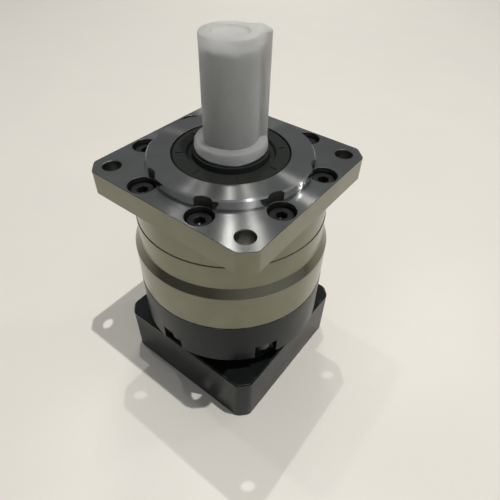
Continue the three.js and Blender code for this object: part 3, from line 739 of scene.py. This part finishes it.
def ring_gear():
    """The middle body, with the fixed ring gear's teeth cut in its bore."""
    bottom, top, radius = RING.bottom, RING.top, RING.radius
    outside = lathe([
        (0, bottom), (radius - 0.1, bottom), (radius, bottom + 0.1), (radius, CONE_Z[0], 0.2),
        (RING_UPPER_R, CONE_Z[1], 0.2), (RING_UPPER_R, top - 0.2), (RING_UPPER_R - 0.2, top), (0, top),
    ], 144)
    teeth = prism(gear_outline(RING_TEETH, DEDENDUM, ADDENDUM, -FLANK_RELIEF, pi / RING_TEETH),
                  [(bottom - BEYOND, 0), (top + BEYOND, 0)], AS_MACHINED)
    mouth = SCREW_HOLE_R + 0.2
    upper = holes(spans("flange_screw"), [
        (0.5, top - 6.5), (SCREW_HOLE_R, top - 6), (SCREW_HOLE_R, top - 0.2), (mouth, top),
        (mouth, top + BEYOND),
    ], 24)
    lower = holes(spans("adapter_screw"), [
        (mouth, bottom - BEYOND), (mouth, bottom), (SCREW_HOLE_R, bottom + 0.2),
        (SCREW_HOLE_R, bottom + 10), (0.5, bottom + 10.5),
    ], 24)
    whole = combined(outside, [teeth, *upper, *lower])
    for face in whole.faces:
        on_cone = 0.4 < face.normal.z < 0.6
        if on_cone and CONE_Z[0] < face.calc_center_median().z < CONE_Z[1]:
            face.material_index = AS_POLISHED
    return mesh_of("ring_gear", whole, [NICKEL, GEAR_STEEL, BRIGHT_NICKEL])


def input_adapter():
    """The black body round the input bearing, with a pocket for each screw that holds it."""
    bottom, top, radius = ADAPTER.bottom, ADAPTER.top, ADAPTER.radius
    seat = span("input_bearing_outer_ring")
    bearing_r = INPUT_BEARING.rim + GAP
    lower_r, upper_r = 16, 16.5
    body = lathe([
        (lower_r, bottom), (radius - 0.4, bottom), (radius, bottom + 0.4), (radius, top - 0.1),
        (radius - 0.1, top), (upper_r, top), (upper_r, seat.top + GAP), (bearing_r, seat.top + GAP),
        (bearing_r, seat.bottom - GAP), (lower_r, seat.bottom - GAP),
    ], 144)
    pocket_top = bottom + POCKET_DEPTH
    pocket_length = 9
    pocket_outline = [(0, -COUNTERBORE_R), (pocket_length, -COUNTERBORE_R),
                      (pocket_length, COUNTERBORE_R), (0, COUNTERBORE_R)]
    pocket_outline += [polar(COUNTERBORE_R, pi / 2 + pi * k / 16) for k in range(1, 16)]
    pocket_levels = [(bottom - BEYOND, -0.25), (bottom, -0.25), (bottom + 0.25, 0), (pocket_top, 0)]
    clearance = [(SCREW_HOLE_R, pocket_top - BEYOND), (SCREW_HOLE_R, top + BEYOND)]
    cutters = []
    for where in spans("adapter_screw"):
        pocket = prism(pocket_outline, pocket_levels)
        cutters.append(moved(pocket, where.x, where.y, turn=atan2(where.y, where.x)))
        cutters.append(hole(where.x, where.y, clearance, 24))
    thread = [(SCREW_HOLE_R, bottom - BEYOND), (SCREW_HOLE_R, bottom + 9), (0.5, bottom + 9.6)]
    cutters += holes(spans("plate_screw"), thread, 24)
    return mesh_of("input_adapter", combined(body, cutters), [BLACK, BLACK])


def motor_plate():
    """The square plate that a motor bolts to, with the neck that joins it to the adapter."""
    top, half_side = PLATE.top, PLATE.radius
    plate = prism(cut_corner_square(half_side, PLATE_CORNER, 1.3), [
        (0, 0.4), (0.4, 0), (PLATE_TOP_Z - 0.5, 0), (PLATE_TOP_Z, 0.5),
    ])
    neck_bottom = PLATE_TOP_Z - BEYOND
    neck = lathe([(0, neck_bottom), (NECK_R, neck_bottom), (NECK_R, top), (0, top)], 144)
    mouth = MOTOR_PILOT_R + 0.4
    hollow_r, throat_r = 18.7, 16.5
    cavity = lathe([
        (0, -BEYOND), (mouth, -BEYOND), (mouth, 0), (MOTOR_PILOT_R, 0.4), (MOTOR_PILOT_R, MOTOR_PILOT_DEPTH),
        (hollow_r, MOTOR_PILOT_DEPTH), (hollow_r, 24, 0.5), (throat_r, 26), (throat_r, top + BEYOND),
        (0, top + BEYOND),
    ], 120, AS_MACHINED)
    half = MOTOR_HOLE_HALF_SPACING
    corners = [(half, half), (-half, half), (-half, -half), (half, -half)]
    motor_thread = [(2.7, -BEYOND), (2.7, 0), (2.1, 0.6), (2.1, 13.5), (0.2, 14.4)]
    seat = span("plate_screw_1").bottom + M4_PLATE.height + SEAT_GAP
    counterbore = [
        (COUNTERBORE_R + 0.2, -BEYOND), (COUNTERBORE_R + 0.2, 0), (COUNTERBORE_R, 0.2),
        (COUNTERBORE_R, seat), (SCREW_HOLE_R, seat), (SCREW_HOLE_R, top + BEYOND),
    ]
    cutters = [cavity, *holes(corners, motor_thread, 32), *holes(spans("plate_screw"), counterbore)]
    plug = span("access_plug")
    access_r = plug.radius + GAP
    access = hole(0, 0, [
        (access_r, 10), (access_r, half_side - 0.3), (access_r + 0.3, half_side),
        (access_r + 0.3, half_side + BEYOND),
    ], 40)
    access.transform(along_y(plug.x, 0, (plug.bottom + plug.top) / 2))
    cutters.append(access)
    return mesh_of("motor_plate", combined(combined(plate, [neck], "UNION"), cutters), [BLACK, BLACK])


def shaft_seal():
    """A moulded lip seal: a flat face with radial grooves, and a thin lip round the shaft."""
    where = span("shaft_seal")
    bottom, radius = where.bottom, where.radius
    face = HOUSING.top - 0.2
    channel = face - 0.9
    channel_r = 12.9
    lip = SHOULDER_R + GAP
    body = lathe([
        (lip + 2, bottom), (radius, bottom), (radius, face - 0.3), (radius - 0.3, face),
        (channel_r + 0.4, face, 0.15), (channel_r, channel, 0.15), (lip + 1.4, channel, 0.15),
        (lip + 1.1, where.top, 0.3), (lip, where.top, 0.3), (lip, channel - 0.6), (lip + 1.5, channel - 1.2),
    ], 128)
    half_width, depth = 0.22, 0.2
    grooves = []
    for _, _, turn in spaced(8, 1):
        groove = block((14.0, -half_width, face - depth), (16.4, half_width, face + BEYOND), 0.2)
        grooves.append(moved(groove, turn=turn))
    return mesh_of("shaft_seal", combined(body, grooves), [RUBBER])


def access_plug():
    """A rubber plug with a rounded rim and a slot, lying along Y."""
    where = span("access_plug")
    length = where.high.y - where.low.y
    body = lathe([
        (0, 0), (where.radius, 0, 0.4), (where.radius, length, 0.5), (where.radius - 0.9, length, 0.1),
        (where.radius - 1.0, length - 0.25, 0.1), (0, length - 0.25),
    ], 48)
    slot = block((-1.8, -0.45, length - 1.1), (1.8, 0.45, length + BEYOND), 0.2)
    plug = combined(body, [slot])
    plug.transform(along_y(where.x, where.low.y, (where.bottom + where.top) / 2))
    return mesh_of("access_plug", plug, [RUBBER])


# ---- Shaft, key and sleeve ----


def key_shape(growth, levels):
    """A solid with the key's round-ended outline, grown by this much, at levels out from the axis."""
    where = span("shaft_key")
    half = KEY_WIDTH / 2
    outline = []
    for middle, start in ((where.top - half, 0.0), (where.bottom + half, pi)):
        for k in range(17):
            x, y = polar(half + growth, start + pi * k / 16)
            outline.append((x, middle + y))
    solid = prism(outline, levels)
    lying = Matrix(((0, 0, 1, 0), (1, 0, 0, 0), (0, 1, 0, 0), (0, 0, 0, 1)))
    solid.transform(Matrix.Rotation(KEY_ANGLE, 4, "Z") @ lying)
    return solid


def output_shaft():
    """The shaft and the front disc of the planet carrier, with its three pillars."""
    disc_bottom, disc_top = DISC_Z
    shoulder_bottom, shoulder_top = SHOULDER_Z
    pillar_bottom, end = SHAFT.bottom, SHAFT.top
    body = lathe([
        (0, disc_bottom), (SHAFT.radius - 0.4, disc_bottom), (SHAFT.radius, disc_bottom + 0.4),
        (SHAFT.radius, disc_top - 0.4), (SHAFT.radius - 0.4, disc_top), (SHOULDER_R + 2, disc_top, 0.3),
        (SHOULDER_R + 2, shoulder_bottom, 0.3), (SHOULDER_R, shoulder_bottom),
        (SHOULDER_R, shoulder_top - 0.5), (SHOULDER_R - 0.5, shoulder_top), (SHAFT_R, shoulder_top, 0.4),
        (SHAFT_R, end - 0.8), (SHAFT_R - 0.8, end), (0, end),
    ], 96)
    pillar_corners = [(17, -4.5, 1.2), (22.4, -3.6, 1.2), (22.4, 3.6, 1.2), (17, 4.5, 1.2)]
    pillar_levels = [(pillar_bottom, 0), (disc_bottom + BEYOND, 0)]
    pillars = [moved(prism(pillar_corners, pillar_levels), turn=turn) for _, _, turn in spaced(3, 1, 60)]
    screw_thread = [(1.5, pillar_bottom - BEYOND), (1.5, 60), (0.2, 60.8)]
    cutters = holes(spaced(3, CARRIER_SCREW_CIRCLE_R, 60), screw_thread, 24)
    pin_seat = [(PIN_R + GAP, disc_bottom - BEYOND), (PIN_R + GAP, disc_top - 1)]
    cutters += holes(spaced(3, PLANET_CIRCLE_R), pin_seat)
    cutters.append(key_shape(0.05, [(KEY_RISE - KEY_DEPTH - GAP, 0), (SHAFT_R + 2, 0)]))
    centre_hole = [(0.2, end - 13), (2.1, end - 12), (2.1, end - 1.6), (3.4, end), (3.4, end + BEYOND)]
    cutters.append(hole(0, 0, centre_hole))
    whole = combined(combined(body, pillars, "UNION"), cutters)
    return mesh_of("output_shaft", whole, [GEAR_STEEL, GEAR_STEEL])


def shaft_key():
    """A parallel key with round ends and broken edges."""
    low, high = KEY_RISE - KEY_DEPTH, KEY_RISE
    levels = [(low, 0.25), (low + 0.25, 0), (high - 0.25, 0), (high, 0.25)]
    return mesh_of("shaft_key", key_shape(0, levels), [KEY_STEEL])


def keyed_circle(radius, reach, half_width, softness, fillet=0.0, segments=72):
    """A circle with a rounded rectangular bump reaching out along +X, joined to it by fillets."""
    root = sqrt(radius ** 2 - half_width ** 2)
    start = asin(half_width / radius) + 1.1 * fillet / radius
    turns = (start + 2 * (pi - start) * k / segments for k in range(segments + 1))
    arc = [polar(radius, turn) for turn in turns]
    corner = [fillet] if fillet else []
    return [*arc, (root, -half_width, *corner), (reach, -half_width, softness),
            (reach, half_width, softness), (root, half_width, *corner)]


def shaft_sleeve():
    """The frosted transport sleeve: a thin tube with room for the key and a thick rolled lip."""
    bottom, top = SLEEVE.bottom, SLEEVE.top
    outline = keyed_circle(SLEEVE_R, reach=10.5, half_width=3.4, softness=1.3, fillet=1.9)
    outside = prism(outline, [
        (bottom + 1.0, 0), (top - 0.7, 0), (top - 0.35, 0.08), (top - 0.12, 0.25), (top, 0.55),
    ])
    lip_r, lip_bore_r, lip_top = 10.8, 7.6, bottom + 3.0
    lip = lathe([
        (lip_bore_r, bottom, 0.2), (lip_r, bottom, 0.25), (lip_r, lip_top, 1.8), (lip_bore_r, lip_top, 0.2),
    ], 120)
    bore = keyed_circle(SLEEVE_BORE_R, reach=KEY_RISE + GAP + 0.2, half_width=2.8, softness=0.5)
    inside = prism(bore, [(bottom - BEYOND, 0), (SHAFT.top + GAP, 0)])
    dimple = lathe([
        (0, top - 0.7), (4.6, top - 0.7, 0.4), (5.1, top), (5.1, top + BEYOND), (0, top + BEYOND),
    ], 72)
    sleeve = combined(combined(outside, [lip], "UNION"), [inside, dimple])
    return mesh_of("shaft_sleeve", moved(sleeve, turn=KEY_ANGLE), [PLASTIC])


# ---- Carrier, gears and input ----


def carrier_plate():
    """The ring that closes the carrier, with a seat for each planet pin and each screw."""
    where = span("carrier_plate")
    bottom, top = where.bottom, where.top
    body = lathe(ring_outline(9.7, where.radius, bottom, top, 0.3, 0.4), 120)
    pin_r = PIN_R + GAP
    pin_seat = [(pin_r, bottom + 1), (pin_r, top - 0.2), (pin_r + 0.2, top), (pin_r + 0.2, top + BEYOND)]
    pin_seats = holes(spaced(3, PLANET_CIRCLE_R), pin_seat)
    seat = span("carrier_screw_1").bottom + M25_CARRIER.height + SEAT_GAP
    room_r = M25_CARRIER.head + GAP
    counterbores = holes(spans("carrier_screw"), [
        (room_r + 0.2, bottom - BEYOND), (room_r + 0.2, bottom), (room_r, bottom + 0.2), (room_r, seat),
        (1.5, seat), (1.5, top + BEYOND),
    ], 32)
    whole = combined(body, [*pin_seats, *counterbores])
    return mesh_of("carrier_plate", whole, [GEAR_STEEL, GEAR_STEEL])


def planet_gear():
    """A planet gear standing on z = 0, with broken tooth ends and a bore for its bush."""
    height = span("planet_gear_1").top - span("planet_gear_1").bottom
    blank = prism(gear_outline(PLANET_TEETH, ADDENDUM, DEDENDUM, FLANK_RELIEF), [
        (0, 0.2), (0.3, 0), (height - 0.3, 0), (height, 0.2),
    ])
    gear = combined(blank, [hole(0, 0, through(BUSH_R + GAP, 0, height, 0.3))])
    return mesh_of("planet_gear", gear, [GEAR_STEEL, POLISHED])


def tube(name, inner, outer, where, material):
    """A plain bush or hollow pin as high as this span, standing on z = 0."""
    body = lathe(ring_outline(inner, outer, 0, where.top - where.bottom, 0.25, 0.25), 56)
    return mesh_of(name, body, [material])


def planets():
    """The three planets share a gear, a bush and a pin mesh."""
    gear = planet_gear()
    bush = tube("planet_bush", PIN_R + GAP, BUSH_R, span("planet_bush_1"), BRONZE)
    pin = tube("planet_pin", 1.0, PIN_R, span("planet_pin_1"), POLISHED)
    for number, node in enumerate(numbered("planet_pin"), 1):
        where = span(node)
        turn = atan2(where.y, where.x) + pi / PLANET_TEETH
        gear_node, bush_node = f"planet_gear_{number}", f"planet_bush_{number}"
        piece(gear_node, gear, at(where.x, where.y, span(gear_node).bottom, turn))
        piece(bush_node, bush, at(where.x, where.y, span(bush_node).bottom))
        piece(node, pin, at(where.x, where.y, where.bottom))


def input_shaft():
    """The hollow, slotted hub that takes the motor shaft, and the sun gear cut on its end."""
    where = span("input_shaft")
    bottom, top = where.bottom, where.top
    root = SUN_TEETH * MODULE / 2 - DEDENDUM
    seat = span("input_bearing_inner_ring").bottom - GAP
    journal = INPUT_BEARING.bore
    collar = journal + 1.5
    bore_end, journal_top, sun_bottom = 38, 41.6, 46
    body = lathe([
        (HUB_BORE_R + 0.4, bottom), (HUB_R - 0.3, bottom), (HUB_R, bottom + 0.3), (HUB_R, HUB_TOP_Z, 0.3),
        (collar, HUB_TOP_Z, 0.3), (collar, seat, 0.3), (journal, seat), (journal, journal_top - 0.4),
        (journal - 0.4, journal_top), (root, 43.5, 0.4), (root, top), (0, top), (0, bore_end),
        (HUB_BORE_R, bore_end), (HUB_BORE_R, bottom + 0.4),
    ], 96)
    sun = prism(gear_outline(SUN_TEETH, ADDENDUM, DEDENDUM, FLANK_RELIEF), [
        (sun_bottom, 0.2), (sun_bottom + 0.3, 0), (top - 0.8, 0), (top - 0.5, 0.2),
    ])
    slots = []
    for turn in (0, pi / 2):
        slot = block((-HUB_R - 1, -0.6, bottom - BEYOND), (HUB_R + 1, 0.6, HUB_TOP_Z - 2))
        slots.append(moved(slot, turn=turn))
    return mesh_of("input_shaft", combined(combined(body, [sun], "UNION"), slots), [GEAR_STEEL])


def reducing_bush():
    """The slit bush that fits an 8 mm motor shaft to the hub's bore."""
    where = span("reducing_bush")
    bottom, top = where.bottom, where.top
    body = lathe(ring_outline(4.0, HUB_BORE_R - GAP, bottom, top, 0.3, 0.3), 64)
    slit = block((2, -0.5, bottom - BEYOND), (9, 0.5, top + BEYOND))
    return mesh_of("reducing_bush", combined(body, [slit]), [BRONZE])


def clamp_collar():
    """The split collar that squeezes the hub on to the motor shaft."""
    where = span("clamp_collar")
    bottom, top = where.bottom, where.top
    outer, inner = 18.0, HUB_R + GAP
    body = lathe(ring_outline(inner, outer, bottom, top, 0.3, 0.4), 96)
    shank_r, shank_end = M3_CLAMP.radius + GAP, -8
    room_r, seat, room_end = M3_CLAMP.head + GAP, 4.5, 16
    shank = lathe([(0, shank_end), (shank_r, shank_end), (shank_r, outer), (0, outer)], 32)
    room = lathe([(0, seat), (room_r, seat), (room_r, room_end), (0, room_end)], 40)
    open_side = block((0, -room_r, seat), (2 * M3_CLAMP.height, room_r, room_end))
    cutters = [shank, room, open_side]
    for cutter in cutters:
        cutter.transform(along_y(span("clamp_screw").x, 0, (bottom + top) / 2))
    cutters.append(block((0, -0.8, bottom - BEYOND), (outer + 1, 0.8, top + BEYOND)))
    return mesh_of("clamp_collar", combined(body, cutters), [OXIDE])


def clamp_screw():
    """The screw that draws the collar's split together, lying along Y."""
    where = span("clamp_screw")
    mesh = mesh_of("clamp_screw", socket_screw(M3_CLAMP), [OXIDE, SOCKET_FLOOR])
    seat = where.high.y - M3_CLAMP.height
    piece("clamp_screw", mesh, along_y(where.x, seat, (where.bottom + where.top) / 2))


def bearing_circlip():
    """An open spring ring with a lug hole in each end."""
    where = span("bearing_circlip")
    bottom, top = where.bottom, where.top
    inner, outer = 16.8, 19.6
    body = lathe([(inner, bottom), (outer, bottom), (outer, top), (inner, top)], 120)
    opening = block((15, -3.5, bottom - BEYOND), (21, 3.5, top + BEYOND), 0.4)
    lugs = []
    for side in (-1, 1):
        x, y = polar((inner + outer) / 2, side * 0.28)
        lugs.append(hole(x, y, [(0.7, bottom - BEYOND), (0.7, top + BEYOND)], 20, AS_COATED))
    return mesh_of("bearing_circlip", combined(body, [opening, *lugs]), [OXIDE])


# ---- Bearings ----


def groove(land, ball_circle, radius, middle, side, steps=12):
    """The outline of a ball groove, from its lower edge to its upper edge."""
    reach = acos(abs(land - ball_circle) / radius)
    turns = (reach * (2 * k / steps - 1) for k in range(steps + 1))
    return [(ball_circle + side * radius * cos(a), middle + radius * sin(a)) for a in turns]


def bearing(stem, kind):
    """A ball bearing: two grooved rings, the balls, and the cage that keeps them apart."""
    name = stem + "_bearing_"
    inner_node, outer_node, balls_node = name + "inner_ring", name + "outer_ring", name + "balls"
    bottom, top = span(outer_node).bottom, span(outer_node).top
    middle = (bottom + top) / 2
    ball_circle = (kind.inner + kind.outer) / 2
    bore = kind.bore + GAP
    raceway = kind.ball_radius + 0.12
    inner = lathe([
        (bore, bottom + 0.4), (bore + 0.4, bottom), (kind.inner, bottom),
        *groove(kind.inner, ball_circle, raceway, middle, -1),
        (kind.inner, top), (bore + 0.4, top), (bore, top - 0.4),
    ], 96)
    outer = lathe([
        (kind.rim - 0.4, bottom), (kind.rim, bottom + 0.4), (kind.rim, top - 0.4), (kind.rim - 0.4, top),
        (kind.outer, top), *reversed(groove(kind.outer, ball_circle, raceway, middle, 1)),
        (kind.outer, bottom),
    ], 96)
    balls, windows = [], []
    for x, y, _ in spaced(kind.balls, ball_circle):
        for radius, group in ((kind.ball_radius, balls), (kind.ball_radius + 0.1, windows)):
            ball = bmesh.new()
            bmesh.ops.create_uvsphere(ball, u_segments=28, v_segments=16, radius=radius)
            group.append(moved(ball, x, y, middle))
    cage_inner, cage_outer = ball_circle - 0.55, ball_circle + 0.55
    cage_low, cage_high = middle - kind.ball_radius - 0.5, middle + kind.ball_radius + 0.5
    ring = lathe([
        (cage_inner, cage_low, 0.1), (cage_outer, cage_low, 0.1),
        (cage_outer, cage_high, 0.1), (cage_inner, cage_high, 0.1),
    ], 96)
    cage = mesh_of(stem + "_cage", combined(ring, windows), [CAGE_BRASS])
    piece(inner_node, mesh_of(inner_node, inner, [POLISHED]))
    piece(outer_node, mesh_of(outer_node, outer, [POLISHED]))
    piece(balls_node, mesh_of(balls_node, gather(balls), [POLISHED]))
    piece(balls_node, cage, name=name + "cage")


# ---- The object ----

SINGLE_PIECES = (
    output_housing, ring_gear, input_adapter, motor_plate, shaft_seal, access_plug, output_shaft, shaft_key,
    shaft_sleeve, carrier_plate, input_shaft, reducing_bush, clamp_collar, bearing_circlip,
)
for make in SINGLE_PIECES:
    piece(make.__name__, make())        # each function is named after its node
planets()
clamp_screw()
screws("flange_screw", M4_SHORT)
screws("adapter_screw", M4_LONG, inverted=True)
screws("plate_screw", M4_PLATE, inverted=True)
screws("carrier_screw", M25_CARRIER, inverted=True)
bearing("output", OUTPUT_BEARING)
bearing("input", INPUT_BEARING)

# ---- Floor, light and camera ----

FLOOR_HALF = 2500
REFLECTED_BELOW = 100           # a lamp this wide or wider, in millimetres, is left out of reflections

CAMERA_PLACE = (71.24, -85.98, 155.4)
CAMERA_AZIMUTH = radians(36.3)
CAMERA_ELEVATION = radians(43.64)
CAMERA_ROLL = radians(1.84)
CAMERA_LENS = 30.716


def floor():
    """A plain floor under the motor face."""
    bm = bmesh.new()
    bmesh.ops.create_grid(bm, x_segments=1, y_segments=1, size=FLOOR_HALF)
    made = bpy.data.objects.new("floor", mesh_of("floor", bm, [floor_stone()]))
    bpy.context.scene.collection.objects.link(made)


def lamp(name, place, power, size, target=(0, 0, 40), tint=(1.0, 0.97, 0.93), glint=False):
    """A round lamp. A glint lights nothing, and is only seen in reflections."""
    data = bpy.data.lights.new(name, "AREA")
    data.shape = "DISK"
    data.size = size * MM
    data.energy = power
    data.color = tint
    made = bpy.data.objects.new(name, data)
    made.location = Vector(place) * MM
    facing = Vector(target) - Vector(place)
    made.rotation_mode = "QUATERNION"
    made.rotation_quaternion = facing.to_track_quat("-Z", "Y")
    made.visible_glossy = size < REFLECTED_BELOW
    made.visible_diffuse = not glint
    bpy.context.scene.collection.objects.link(made)


def world_light(sides=0.125, overhead=0.22, right=0.3):
    """A dim room, brighter overhead and towards +X."""
    world = bpy.data.worlds.new("room")
    world.use_nodes = True
    tree = world.node_tree
    place = tree.nodes.new("ShaderNodeTexCoord")
    parts = tree.nodes.new("ShaderNodeSeparateXYZ")
    tree.links.new(place.outputs["Generated"], parts.inputs[0])

    def risen(axis, start, low, high):
        node = tree.nodes.new("ShaderNodeMapRange")
        values = {"From Min": start, "From Max": 1.0, "To Min": low, "To Max": high}
        for socket, value in values.items():
            node.inputs[socket].default_value = value
        tree.links.new(parts.outputs[axis], node.inputs["Value"])
        return node.outputs[0]

    total = tree.nodes.new("ShaderNodeMath")
    tree.links.new(risen("Z", -0.1, sides, overhead), total.inputs[0])
    tree.links.new(risen("X", 0.3, 0.0, right), total.inputs[1])
    background = tree.nodes["Background"]
    background.inputs["Color"].default_value = (0.98, 0.99, 1.0, 1.0)
    tree.links.new(total.outputs[0], background.inputs["Strength"])
    bpy.context.scene.world = world


def camera():
    """The photograph's view: azimuth is measured from -Y towards +X."""
    azimuth, elevation, roll = CAMERA_AZIMUTH, CAMERA_ELEVATION, CAMERA_ROLL
    level = cos(elevation)
    back = Vector((sin(azimuth) * level, -cos(azimuth) * level, sin(elevation)))
    right = Vector((cos(azimuth), sin(azimuth), 0))
    up = back.cross(right)
    across = cos(roll) * right + sin(roll) * up
    upright = cos(roll) * up - sin(roll) * right
    turned = Matrix((across, upright, back)).transposed().to_4x4()
    data = bpy.data.cameras.new("camera")
    data.sensor_width = 36
    data.lens = CAMERA_LENS
    data.clip_start = 0.01
    made = bpy.data.objects.new("camera", data)
    made.matrix_world = Matrix.Translation(Vector(CAMERA_PLACE) * MM) @ turned
    bpy.context.scene.collection.objects.link(made)
    bpy.context.scene.camera = made


floor()
lamp("lamp_near", (250, 67, 1184), 7.1, 14)
lamp("lamp_far", (-277, 305, 1382), 3.0, 18)
lamp("lamp_left", (-455, 26, 1218), 0.9, 40)
lamp("lamp_right", (455, 858, 858), 0.7, 95)
lamp("glint_right", (42, 884, 1026), 1.35, 70, glint=True)
lamp("glint_left", (-650, 95, 1180), 0.9, 95, glint=True)
lamp("soft_back", (-500, 800, 500), 2.0, 300, target=(-350, 500, 0))
world_light()
camera()
bpy.context.scene.view_settings.view_transform = "Standard"
